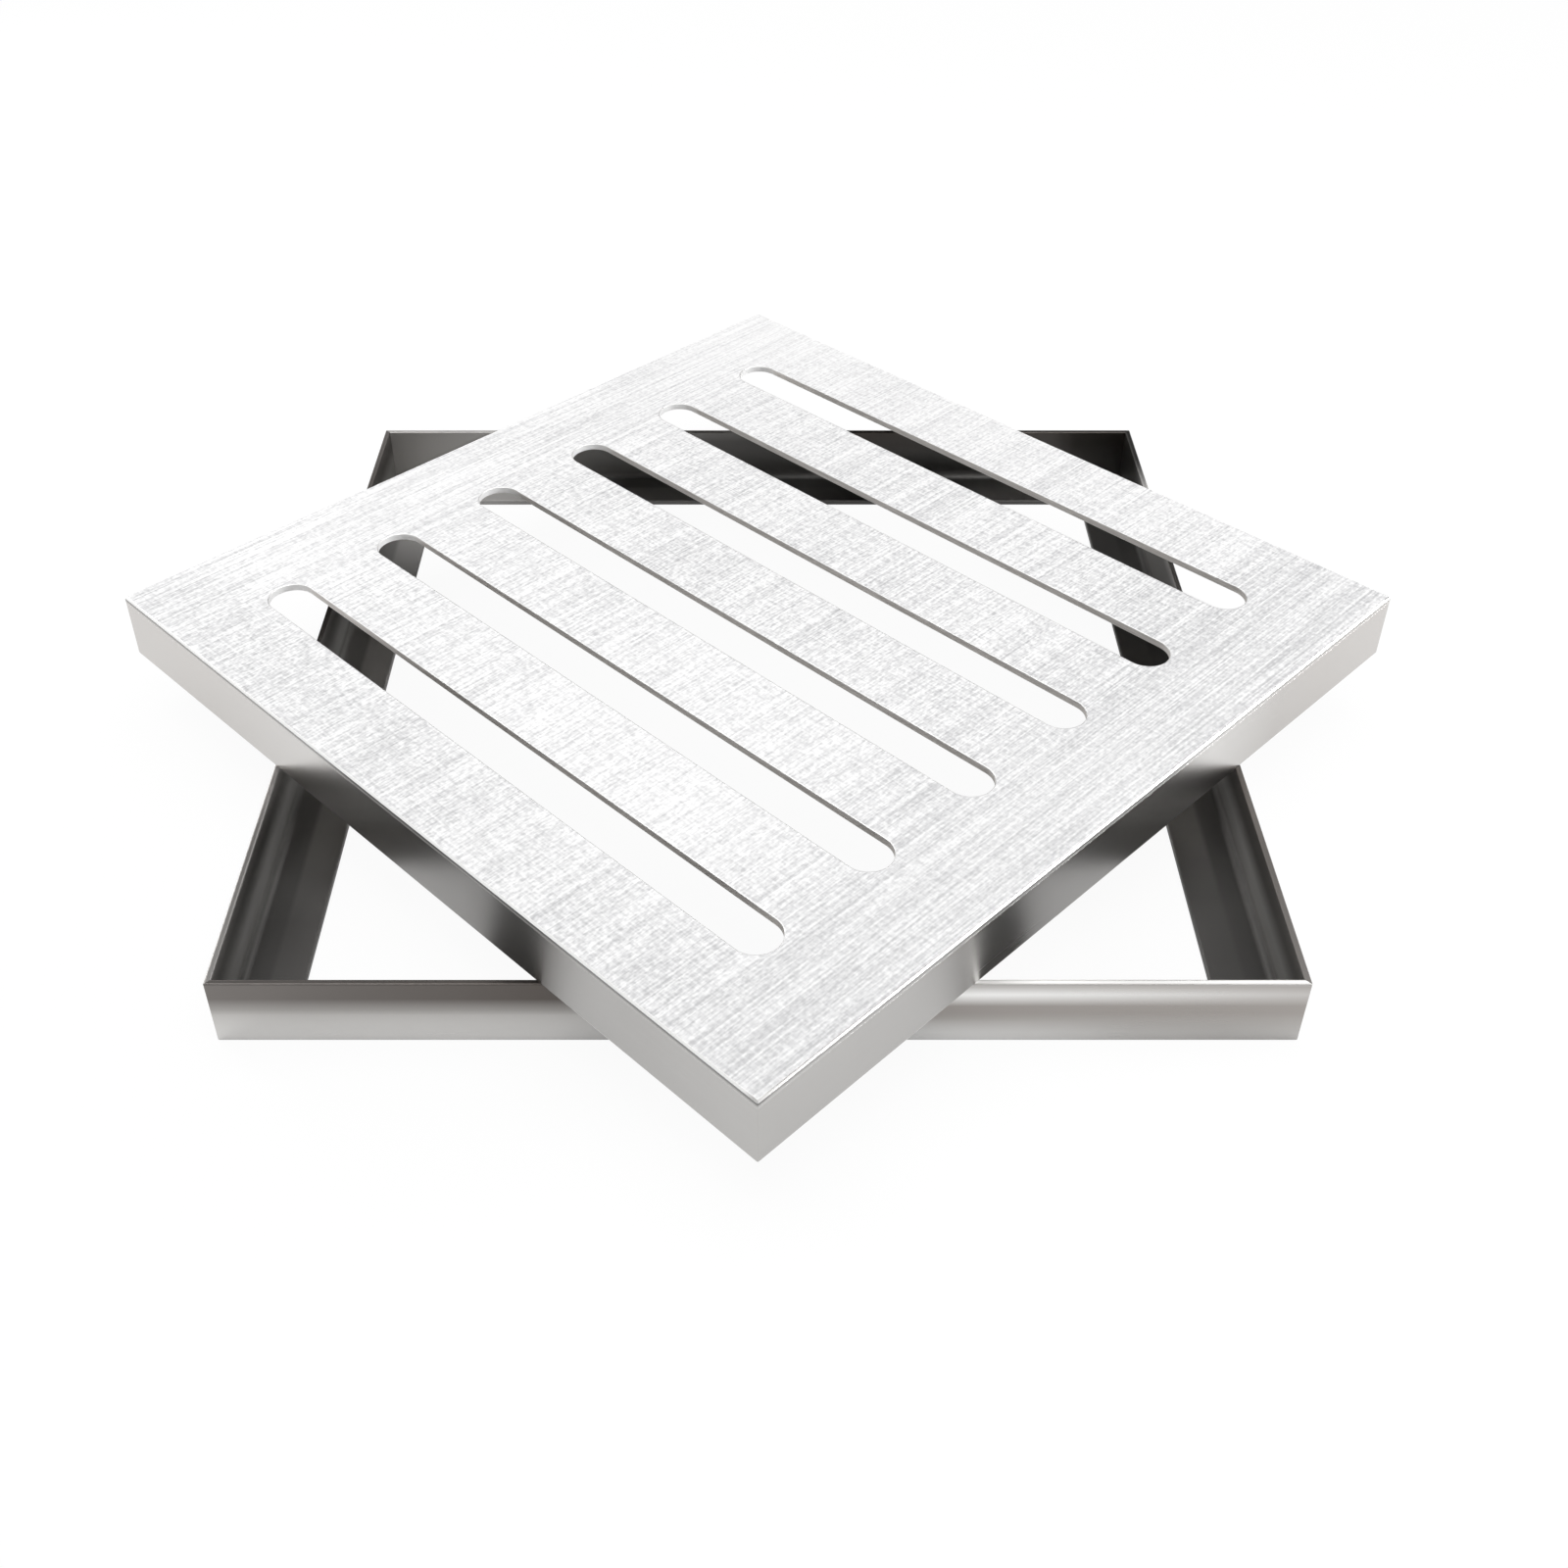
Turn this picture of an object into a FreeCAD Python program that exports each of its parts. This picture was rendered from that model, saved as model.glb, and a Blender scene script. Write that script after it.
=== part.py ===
import FreeCAD, Part
import math
import os

import Sketcher

# Square drain grate: a slotted cover lying cornerwise across the rim of its angle frame.
# Millimetres, +Z up. The origin is the centre of the frame's underside. The cover's sides
# and its slots lie along X and Y, and the frame is turned about Z.

# Driving dimensions in millimetres, the turn in degrees: alias, value, what it measures.
DRIVING_SIZES = (
    ("frame_side", 400.0, "outside width of the square frame"),
    ("frame_height", 30.0, "height of the angle's upright leg"),
    ("angle_thickness", 2.5, "metal thickness of the frame's angle"),
    ("ledge_width", 27.5, "width of the angle's flat leg, upright leg included"),
    ("root_radius", 2.0, "inside radius between the angle's two legs"),
    ("frame_turn", 45.0, "turn of the frame against the cover"),
    ("cover_clearance", 1.0, "gap on each side of the cover when it is set in its frame"),
    ("plate_thickness", 3.0, "thickness of the slotted plate"),
    ("skirt_thickness", 2.5, "thickness of the strips under the plate's edges"),
    ("slot_count", 6, "number of slots in the plate"),
    ("slot_width", 20.0, "width of a slot and diameter of its round ends"),
    ("slot_side_margin", 41.5, "metal between an outer slot and the plate's edge"),
    ("slot_end_margin", 42.5, "metal between a slot's end and the plate's edge"),
    ("edge_break", 0.8, "chamfer along the plate's upper outer edges"),
    ("slot_break", 0.3, "chamfer that takes the burr off the slots' upper edges"),
)

# Sizes that follow from the driving ones: alias, formula, what it measures.
DERIVED_SIZES = (
    (
        "cover_side",
        "=frame_side - 2 * (angle_thickness + cover_clearance)",
        "outside width of the square cover",
    ),
    (
        "skirt_height",
        "=frame_height - angle_thickness",
        "height of the strips: on the ledge they lift the plate's underside to the rim",
    ),
    (
        "slot_reach",
        "=(cover_side - slot_width) / 2 - slot_end_margin",
        "distance from the plate's middle to the centre of a slot's round end",
    ),
    (
        "slot_pitch",
        "=(cover_side - 2 * slot_side_margin - slot_width) / (slot_count - 1)",
        "distance between the middles of neighbouring slots",
    ),
)

# The four sides of a square, with the turn in degrees that brings the front one there.
SIDE_TURNS = {"front": 0, "right": 90, "back": 180, "left": 270}


def fill_sheet(sheet):
    """Writes each size on a row of its own: name, value, note."""
    for row, (alias, value, note) in enumerate(DRIVING_SIZES + DERIVED_SIZES, start=1):
        sheet.set(f"A{row}", alias)
        sheet.set(f"B{row}", str(value))
        sheet.setAlias(f"B{row}", alias)
        sheet.set(f"C{row}", note)


def origin_feature(body, role):
    """The plane or axis with this role in the body's own origin."""
    return next(f for f in body.Origin.OriginFeatures if f.Role == role)


def new_body(doc, label, height="0", turn="0"):
    """An empty body, raised along Z and turned about Z by expressions on the sheet."""
    body = doc.addObject("PartDesign::Body", label)
    body.Label = label
    upright = FreeCAD.Rotation(FreeCAD.Vector(0, 0, 1), 0)
    body.Placement = FreeCAD.Placement(FreeCAD.Vector(), upright)
    body.setExpression("Placement.Base.z", height)
    body.setExpression("Placement.Rotation.Angle", turn)
    return body


def new_sketch(body, name, plane_role):
    """An empty sketch on one of the body's own origin planes."""
    sketch = body.newObject("Sketcher::SketchObject", name)
    sketch.AttachmentSupport = [(origin_feature(body, plane_role), "")]
    sketch.MapMode = "FlatFace"
    return sketch


def tie(sketch, constraint, expression):
    """Adds a dimension to the sketch and ties it to an expression on the sheet."""
    index = sketch.addConstraint(constraint)
    sketch.setExpression(f"Constraints[{index}]", expression)


def place_point(sketch, geometry, vertex, x, y):
    """Holds a point of the sketch at the distances x and y from its origin."""
    for kind, axis, expression in (("DistanceX", -2, x), ("DistanceY", -1, y)):
        if expression == "0":
            sketch.addConstraint(Sketcher.Constraint("PointOnObject", geometry, vertex, axis))
        else:
            distance = sketch.evalExpression(expression)
            held = Sketcher.Constraint(kind, -1, 1, geometry, vertex, float(distance))
            tie(sketch, held, expression)


def draw_outline(sketch, corners):
    """A closed outline of straight edges, its corners given as pairs of expressions."""
    points = [
        FreeCAD.Vector(*[float(sketch.evalExpression(distance)) for distance in corner], 0)
        for corner in corners
    ]
    following = points[1:] + points[:1]
    for start, end in zip(points, following):
        sketch.addGeometry(Part.LineSegment(start, end))
    for edge in range(len(corners)):
        next_edge = (edge + 1) % len(corners)
        sketch.addConstraint(Sketcher.Constraint("Coincident", edge, 2, next_edge, 1))
    for edge, (x, y) in enumerate(corners):
        place_point(sketch, edge, 1, x, y)


def draw_slot(sketch, reach, offset, width):
    """A slot along X, offset along Y: two round ends joined by tangent edges."""
    radius = float(sketch.evalExpression(f"{width} / 2"))
    half = FreeCAD.Vector(float(sketch.evalExpression(reach)), 0, 0)
    middle = FreeCAD.Vector(0, float(sketch.evalExpression(offset)), 0)
    rise = FreeCAD.Vector(0, radius, 0)
    quarter = math.pi / 2
    upward = FreeCAD.Vector(0, 0, 1)
    left_circle = Part.Circle(middle - half, upward, radius)
    right_circle = Part.Circle(middle + half, upward, radius)
    left_end, lower_edge, right_end, upper_edge = sketch.addGeometry(
        [
            Part.ArcOfCircle(left_circle, quarter, 3 * quarter),
            Part.LineSegment(middle - half - rise, middle + half - rise),
            Part.ArcOfCircle(right_circle, -quarter, quarter),
            Part.LineSegment(middle + half + rise, middle - half + rise),
        ]
    )
    ring = [left_end, lower_edge, right_end, upper_edge, left_end]
    for edge, next_edge in zip(ring, ring[1:]):
        sketch.addConstraint(Sketcher.Constraint("Tangent", edge, 2, next_edge, 1))
    sketch.addConstraint(Sketcher.Constraint("Equal", left_end, right_end))
    place_point(sketch, left_end, 3, f"-{reach}", offset)
    place_point(sketch, right_end, 3, reach, offset)
    tie(sketch, Sketcher.Constraint("Radius", left_end, radius), f"{width} / 2")


def add_pad(body, sketch, length, side_type="One side"):
    """Raises the sketch's outline to a solid."""
    pad = body.newObject("PartDesign::Pad", f"{sketch.Name}_pad")
    pad.Profile = sketch
    pad.SideType = side_type
    pad.setExpression("Length", length)
    return pad


def add_through_cut(body, sketch):
    """Cuts the sketch's outline right through the solid, to both sides of its plane."""
    cut = body.newObject("PartDesign::Pocket", f"{sketch.Name}_cut")
    cut.Profile = sketch
    cut.SideType = "Symmetric"
    cut.Type = "ThroughAll"
    return cut


def add_cover_plate(doc):
    """Flat square plate with a row of slots cut through it."""
    body = new_body(doc, "cover_plate", height="Sizes.frame_height + Sizes.skirt_height")
    edge = "Sizes.cover_side / 2"
    blank = new_sketch(body, "plate_blank", "XY_Plane")
    draw_outline(
        blank,
        [(f"-{edge}", f"-{edge}"), (edge, f"-{edge}"), (edge, edge), (f"-{edge}", edge)],
    )
    add_pad(body, blank, "Sizes.plate_thickness")

    slot = new_sketch(body, "first_slot", "XY_Plane")
    first_offset = "-Sizes.slot_pitch * (Sizes.slot_count - 1) / 2"
    draw_slot(slot, "Sizes.slot_reach", first_offset, "Sizes.slot_width")
    first_cut = add_through_cut(body, slot)
    slot_row = body.newObject("PartDesign::LinearPattern", "slot_row")
    slot_row.Originals = [first_cut]
    slot_row.Direction = (origin_feature(body, "Y_Axis"), [""])
    slot_row.Mode = "Spacing"
    slot_row.setExpression("Offset", "Sizes.slot_pitch")
    slot_row.setExpression("Occurrences", "Sizes.slot_count")
    body.Tip = slot_row
    doc.recompute()

    outline = upper_face(slot_row.Shape).OuterWire
    edge_break = add_chamfer(body, "edge_break", slot_row, [outline])
    doc.recompute()

    face = upper_face(edge_break.Shape)
    slot_rims = [wire for wire in face.Wires if not wire.isSame(face.OuterWire)]
    add_chamfer(body, "slot_break", edge_break, slot_rims)
    return body


def upper_face(shape):
    """The upper face of a flat plate."""
    return max(shape.Faces, key=lambda face: face.BoundBox.ZMin)


def add_chamfer(body, size, base, wires):
    """Breaks the edges that these wires run along by the size of this name on the sheet."""
    wanted = [edge for wire in wires for edge in wire.Edges]
    names = [
        f"Edge{number}"
        for number, edge in enumerate(base.Shape.Edges, start=1)
        if any(edge.isSame(other) for other in wanted)
    ]
    chamfer = body.newObject("PartDesign::Chamfer", size)
    chamfer.Base = (base, names)
    chamfer.setExpression("Size", f"Sizes.{size}")
    body.Tip = chamfer
    return chamfer


def add_cover_skirt(doc, side):
    """Strip standing on edge under one side of the plate, mitred at both ends."""
    body = new_body(doc, f"cover_skirt_{side}", "Sizes.frame_height", str(SIDE_TURNS[side]))
    outer = "Sizes.cover_side / 2"
    inner = "(Sizes.cover_side / 2 - Sizes.skirt_thickness)"
    plan = new_sketch(body, f"skirt_plan_{side}", "XY_Plane")
    draw_outline(
        plan,
        [
            (f"-{outer}", f"-{outer}"),
            (outer, f"-{outer}"),
            (inner, f"-{inner}"),
            (f"-{inner}", f"-{inner}"),
        ],
    )
    add_pad(body, plan, "Sizes.skirt_height")
    return body


def add_frame_rail(doc, side):
    """Length of angle with its flat leg inwards, mitred at both ends."""
    body = new_body(doc, f"frame_rail_{side}", turn=f"Sizes.frame_turn + {SIDE_TURNS[side]}")
    outer = "-Sizes.frame_side / 2"
    wall_face = f"({outer} + Sizes.angle_thickness)"
    ledge_edge = f"({outer} + Sizes.ledge_width)"
    section = new_sketch(body, f"angle_section_{side}", "YZ_Plane")
    draw_outline(
        section,
        [
            (outer, "0"),
            (ledge_edge, "0"),
            (ledge_edge, "Sizes.angle_thickness"),
            (wall_face, "Sizes.angle_thickness"),
            (wall_face, "Sizes.frame_height"),
            (outer, "Sizes.frame_height"),
        ],
    )
    bar = add_pad(body, section, "Sizes.frame_side", "Symmetric")
    doc.recompute()

    root = body.newObject("PartDesign::Fillet", f"root_{side}")
    root.Base = (bar, [root_edge(doc.getObject("Sizes"), bar.Shape)])
    root.setExpression("Radius", "Sizes.root_radius")

    # The saw cut runs at 45 degrees through the outer corner and past both legs.
    corner_beyond = f"({outer} - Sizes.ledge_width)"
    corner_inside = f"({outer} + 2 * Sizes.ledge_width)"
    waste = new_sketch(body, f"mitre_{side}", "XY_Plane")
    draw_outline(
        waste,
        [
            (corner_beyond, corner_beyond),
            (corner_inside, corner_inside),
            (corner_beyond, corner_inside),
        ],
    )
    saw_cut = add_through_cut(body, waste)
    other_end = body.newObject("PartDesign::Mirrored", f"other_mitre_{side}")
    other_end.Originals = [saw_cut]
    other_end.MirrorPlane = (origin_feature(body, "YZ_Plane"), [""])
    body.Tip = other_end
    return body


def root_edge(sizes, shape):
    """Name of the edge where the inside faces of the angle's two legs meet."""
    wall_face = sizes.angle_thickness - sizes.frame_side / 2
    meeting = FreeCAD.Vector(0, wall_face, sizes.angle_thickness)
    distances = [edge.CenterOfMass.distanceToPoint(meeting) for edge in shape.Edges]
    return f"Edge{distances.index(min(distances)) + 1}"


def stop_on_faults(doc, bodies):
    """Raises an error if anything failed to build or a sub-part isn't one sound solid."""
    failed = [o.Name for o in doc.Objects if {"Invalid", "Error"} & set(o.State)]
    unsound = [
        body.Label
        for body in bodies
        if body.Shape.isNull() or not body.Shape.isValid() or len(body.Shape.Solids) != 1
    ]
    if failed or unsound:
        raise RuntimeError(f"not built: {failed}, not sound: {unsound}")


def main():
    doc = FreeCAD.newDocument("square_drain_grate")
    fill_sheet(doc.addObject("Spreadsheet::Sheet", "Sizes"))
    doc.recompute()
    bodies = [add_cover_plate(doc)]
    bodies += [add_cover_skirt(doc, side) for side in SIDE_TURNS]
    bodies += [add_frame_rail(doc, side) for side in SIDE_TURNS]
    doc.recompute()
    stop_on_faults(doc, bodies)
    os.makedirs("parts", exist_ok=True)
    for body in bodies:
        body.Shape.exportStep(f"parts/{body.Label}.step")


main()
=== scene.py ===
"""Square drain grate: a brushed, slotted cover lying cornerwise across its angle frame."""

import math

import bmesh
import bpy
import numpy as np
from bpy.props import FloatProperty, FloatVectorProperty, IntProperty, PointerProperty
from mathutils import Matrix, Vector


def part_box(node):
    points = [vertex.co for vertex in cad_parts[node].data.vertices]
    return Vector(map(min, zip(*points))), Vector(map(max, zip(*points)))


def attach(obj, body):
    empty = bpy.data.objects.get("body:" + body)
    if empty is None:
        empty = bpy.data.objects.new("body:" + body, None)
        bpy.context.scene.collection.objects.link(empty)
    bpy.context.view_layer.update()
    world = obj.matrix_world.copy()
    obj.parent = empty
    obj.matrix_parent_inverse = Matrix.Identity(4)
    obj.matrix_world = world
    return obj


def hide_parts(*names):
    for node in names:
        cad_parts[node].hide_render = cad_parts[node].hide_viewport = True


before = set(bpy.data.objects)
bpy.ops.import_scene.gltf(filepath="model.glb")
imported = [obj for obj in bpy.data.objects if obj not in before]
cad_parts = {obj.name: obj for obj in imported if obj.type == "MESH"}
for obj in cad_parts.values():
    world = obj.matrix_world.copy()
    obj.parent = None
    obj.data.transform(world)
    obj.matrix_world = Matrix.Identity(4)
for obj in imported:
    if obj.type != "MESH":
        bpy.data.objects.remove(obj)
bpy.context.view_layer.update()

bl_info = {
    "name": "Square drain grate",
    "version": (1, 0, 0),
    "blender": (4, 5, 0),
    "location": "View3D > Sidebar > Grate",
    "description": "Builds the pieces and finishes of a square drain grate on its frame",
    "category": "Add Mesh",
}

SIDES = ("front", "right", "back", "left")
MARKS = ("cut", "worn", "mill", "outer")
BODY = "root"

QUARTER_TURN = math.pi / 2
SHARP_ANGLE = math.radians(40)
WELD_REACH = 2e-6  # metres, within which points are one
EDGE_DIGITS, POINT_DIGITS = 5, 9  # decimals to which places are compared
SLOT_STRAIGHT_STEPS = 24  # along a slot's straight edge
BAR_STATIONS = 9  # along a strip or an angle
SLOT_EDGE_WEAR = 0.6
BEAD_END_LEAST = 0.02  # least share under the root, so that a bead's end keeps a face
BEAD_BURIED = 0.2  # share of a bead's leg that lies inside the metal


# Sizes read from the solids of the frame, in metres

def node_points(name):
    """Corner points of one solid, one row each."""
    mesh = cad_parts[name].data
    flat = np.empty(len(mesh.vertices) * 3, np.float32)
    mesh.vertices.foreach_get("co", flat)
    return flat.reshape(-1, 3).astype(float)


class CoverSizes:
    """Plate, slots and skirt strips of the cover, measured on their solids.

    On the plate's underside the points that lie inside its outer edges belong to the slots.
    The least distance of these points from the middle is where the straight edges end. Half
    the width between two straight edges is the slot's radius. On the upper face, the edges
    lie further in or out by the width of their chamfers.
    """

    def __init__(self):
        points = node_points("cover_plate")
        self.half = points[:, 0].max()
        self.bottom, self.top = points[:, 2].min(), points[:, 2].max()
        inside = np.abs(points[:, :2]).max(axis=1) < self.half - WELD_REACH
        low = points[:, 2] < self.bottom + WELD_REACH
        slot_points = points[inside & low]
        upper = points[points[:, 2] > self.top - WELD_REACH]
        self.edge_break = self.half - upper[:, 0].max()
        within = np.abs(upper[:, :2]).max(axis=1) < upper[:, 0].max() - WELD_REACH
        self.slot_break = np.ptp(upper[within, 1]) / 2 - np.ptp(slot_points[:, 1]) / 2
        along = np.abs(slot_points[:, 0])
        self.slot_reach = along.min()
        straight_ends = slot_points[along < self.slot_reach + WELD_REACH, 1]
        edges = np.unique(np.round(straight_ends, EDGE_DIGITS)).reshape(-1, 2)
        self.slot_middles = edges.mean(axis=1)
        self.slot_radius = np.diff(edges).mean() / 2
        low_corner, high_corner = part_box("cover_skirt_front")
        self.skirt_thickness = high_corner.y - low_corner.y
        self.skirt_bottom = low_corner.z


class RailSizes:
    """Angle section of the frame, measured on its front rail across the rail's outer face."""

    def __init__(self, turn):
        points = node_points("frame_rail_front")
        outward = points[:, :2] @ (math.sin(turn), -math.cos(turn))
        height = points[:, 2]
        self.half, self.height = outward.max(), height.max()
        ledge_edge = outward < outward.min() + WELD_REACH
        rim = height > self.height - WELD_REACH
        self.ledge = self.half - outward.min()
        self.wall = self.half - outward[rim].min()
        self.thickness = height[ledge_edge].max()
        self.root_radius = self.root_of(outward, height)

    def root_of(self, outward, height):
        """Inside radius: how far above the ledge the curve meets the wall's inner face."""
        on_wall = np.abs(outward - (self.half - self.wall)) < WELD_REACH
        return height[on_wall].min() - self.thickness


# Surfaces: every point is worked out from two parameters

def rounded_run(points, radii, shoulder, steps):
    """Run of straight edges, each corner rounded.

    With a and b the unit vectors from a corner to its two neighbours, the round is
    corner + radius * ((1 - sin t) a + (1 - cos t) b) with t from 0 to 90 degrees: a quarter
    circle in a right angle, and elsewhere the quarter ellipse that touches both edges.
    One more point lies a shoulder's length out on the flat at either side of the round.
    Returns the points and, for each of them, 1 on a round and 0 on the flats.
    """
    points = np.asarray(points, float)
    corner = points[1:-1, None]
    back = points[:-2, None] - corner
    ahead = points[2:, None] - corner
    back /= np.linalg.norm(back, axis=2, keepdims=True)
    ahead /= np.linalg.norm(ahead, axis=2, keepdims=True)
    radius = np.asarray(radii, float)[:, None, None]
    turn = np.linspace(0, QUARTER_TURN, steps)[None, :, None]
    arc = corner + radius * ((1 - np.sin(turn)) * back + (1 - np.cos(turn)) * ahead)
    before = corner + (radius + shoulder) * back
    after = corner + (radius + shoulder) * ahead
    rounds = np.concatenate([before, arc, after], axis=1)
    worn = np.zeros(rounds.shape[:2])
    worn[:, 1:-1] = 1
    run = np.concatenate([points[:1], rounds.reshape(-1, 2), points[-1:]])
    return run, np.concatenate([[0], worn.ravel(), [0]])


def run_length(run):
    """Length along a run up to each of its points."""
    return np.concatenate([[0], np.cumsum(np.linalg.norm(np.diff(run, axis=0), axis=1))])


def turned(x, y, z, turn):
    """Points turned about the upright axis: (x cos - y sin, x sin + y cos, z)."""
    c, s = math.cos(turn), math.sin(turn)
    return np.stack([c * x - s * y, s * x + c * y, z], axis=-1)


def side_of_square(run, half, corner_radius, along, corner_steps, turn):
    """Run of (depth, height) points carried along one side of a square, mitre to mitre.

    A point at depth d has its corner's centre at half - max(corner radius, d) and swings
    about it with radius max(corner radius - d, 0). It goes straight between the two
    centres, at the stations given as shares of that distance, and swings by 45 degrees at
    either end, up to the mitre. The whole side is then turned about the upright axis.
    """
    depth, height = run.T
    centre = half - np.maximum(corner_radius, depth)
    swing = np.maximum(corner_radius - depth, 0)
    bend = np.linspace(0, QUARTER_TURN / 2, corner_steps)[1:]
    share = np.concatenate([np.full(bend.size, -1), along, np.full(bend.size, 1)])[:, None]
    angle = np.concatenate([-bend[::-1], np.zeros(len(along)), bend])[:, None]
    x = share * centre + swing * np.sin(angle)
    y = -centre - swing * np.cos(angle)
    return turned(x, y, np.broadcast_to(height, x.shape), turn), x


def slot_loop(straight_steps, arc_steps):
    """Stations round a slot: 0 to 1 along one straight edge, 1 to 2 round an end, and so on."""
    straight = np.linspace(0, 1, straight_steps, endpoint=False)
    arc = np.linspace(0, 1, arc_steps, endpoint=False)
    return np.concatenate([straight, 1 + arc, 2 + straight, 3 + arc, [4.0]])


def slot_outline(cover, station, outset):
    """Points that lie outset from a slot's wall, for stations round it, about its middle.

    A point turns about a centre that slides between the two ends of the straight edges:
    centre + (slot radius + outset) * (cos t, sin t).
    """
    reach = cover.slot_reach
    centre = np.interp(station, [0, 1, 2, 3, 4], [-reach, reach, reach, -reach, -reach])
    angle = np.interp(station, [0, 1, 2, 3, 4], np.radians([-90, -90, 90, 90, 270]))
    radius = cover.slot_radius + np.asarray(outset)
    x = centre[:, None] + radius * np.cos(angle)[:, None]
    y = radius * np.sin(angle)[:, None]
    return x, y


def cell_outline(cover, station, edge, low, high):
    """Points of the rectangle of metal round a slot that face the same stations.

    They go straight from corner to corner, and the corners face the stations that lie a
    quarter and three quarters of the way round each end.
    """
    reach = cover.slot_reach
    corners = [0, 1, 1.25, 1.75, 2, 3, 3.25, 3.75, 4]
    across = [-reach, reach, edge, edge, reach, -reach, -edge, -edge, -reach]
    x = np.interp(station, corners, across)
    y = np.interp(station, corners, [low, low, low, high, high, high, high, low, low])
    return x, y


def set_in_scene(name, mesh, finish):
    """Makes an object of a mesh, with its finish, and links it to the scene."""
    mesh.materials.append(finish)
    made = bpy.data.objects.new(name, mesh)
    bpy.context.scene.collection.objects.link(made)
    return made


class Patches:
    """Grids of points collected for one piece, then welded into one closed mesh."""

    def __init__(self):
        self.points, self.faces, self.maps = [], [], []
        self.marks = {name: [] for name in MARKS}
        self.count = 0

    def add_grid(self, points, u, v, flip=False, **marks):
        """Adds a grid of points as quads, with its map (u, v) and its marks."""
        rows, columns = points.shape[:2]
        index = np.arange(rows * columns).reshape(rows, columns)
        ring = [index[:-1, :-1], index[1:, :-1], index[1:, 1:], index[:-1, 1:]]
        quads = np.stack(ring[::-1] if flip else ring, axis=-1).reshape(-1, 4)
        flat_map = np.stack(np.broadcast_arrays(u, v), axis=-1).reshape(-1, 2)
        self.faces += (quads + self.count).tolist()
        self.maps.append(flat_map[quads].reshape(-1, 2))
        self.points.append(points.reshape(-1, 3))
        for name in MARKS:
            mark = np.broadcast_to(marks.get(name, 0.0), (rows, columns))
            self.marks[name].append(mark.ravel())
        self.count += rows * columns

    def add_cap(self, ring, section, flip=False):
        """Closes an end with one flat face."""
        order = np.arange(len(ring))
        order = order[::-1] if flip else order
        self.faces.append((order + self.count).tolist())
        self.maps.append(section[order])
        self.points.append(ring)
        for name in MARKS:
            self.marks[name].append(np.zeros(len(ring)))
        self.count += len(ring)

    def add_bar(self, points, u, v, section, **marks):
        """Adds a closed section carried along a line, with a cap at either end."""
        self.add_grid(points, u, v, **marks)
        self.add_cap(points[0, :-1], section[:-1])
        self.add_cap(points[-1, :-1], section[:-1], flip=True)

    def make_piece(self, name, finish, slot, replaced=None):
        """Welds the patches, sets the mesh on its body and gives it its finish."""
        mesh = bpy.data.meshes.new(name)
        mesh.from_pydata(np.concatenate(self.points), [], self.faces)
        layer = mesh.uv_layers.new(name="grain")
        layer.data.foreach_set("uv", np.concatenate(self.maps).astype(np.float32).ravel())
        for mark, values in self.marks.items():
            attribute = mesh.attributes.new(mark, "FLOAT", "POINT")
            attribute.data.foreach_set("value", np.concatenate(values).astype(np.float32))
        welded = bmesh.new()
        welded.from_mesh(mesh)
        bmesh.ops.remove_doubles(welded, verts=welded.verts, dist=WELD_REACH)
        welded.to_mesh(mesh)
        welded.free()
        mesh.polygons.foreach_set("use_smooth", np.ones(len(mesh.polygons), bool))
        mesh.set_sharp_from_angle(angle=SHARP_ANGLE)
        piece = set_in_scene(name, mesh, finish)
        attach(piece, BODY)
        if replaced:
            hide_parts(replaced)


# Finishes: shader maths as expressions

def opaque(colour):
    """Colour with a full alpha, as the nodes take it."""
    return (*colour, 1.0)


class Wire:
    """An output of a node. Sums with it add the Math nodes that they need."""

    def __init__(self, finish, socket):
        self.finish, self.socket = finish, socket

    def maths(self, operation, *values, clamp=False):
        """Result of a Math node."""
        settings = {"operation": operation, "use_clamp": clamp}
        return self.finish.node("ShaderNodeMath", settings, dict(enumerate(values)))

    def __add__(self, other):
        return self.maths("ADD", self, other)

    def __sub__(self, other):
        return self.maths("SUBTRACT", self, other)

    def __rsub__(self, other):
        return self.maths("SUBTRACT", other, self)

    def __mul__(self, other):
        return self.maths("MULTIPLY", self, other)

    __radd__, __rmul__ = __add__, __mul__

    def ramp(self, low, high):
        """0 below low, 1 above high, straight between them."""
        settings = {"interpolation_type": "LINEAR", "clamp": True}
        return self.finish.node(
            "ShaderNodeMapRange", settings, {"Value": self, "From Min": low, "From Max": high}
        )

    def clipped(self):
        """The value, held between 0 and 1."""
        return self.maths("ADD", self, 0.0, clamp=True)


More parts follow.
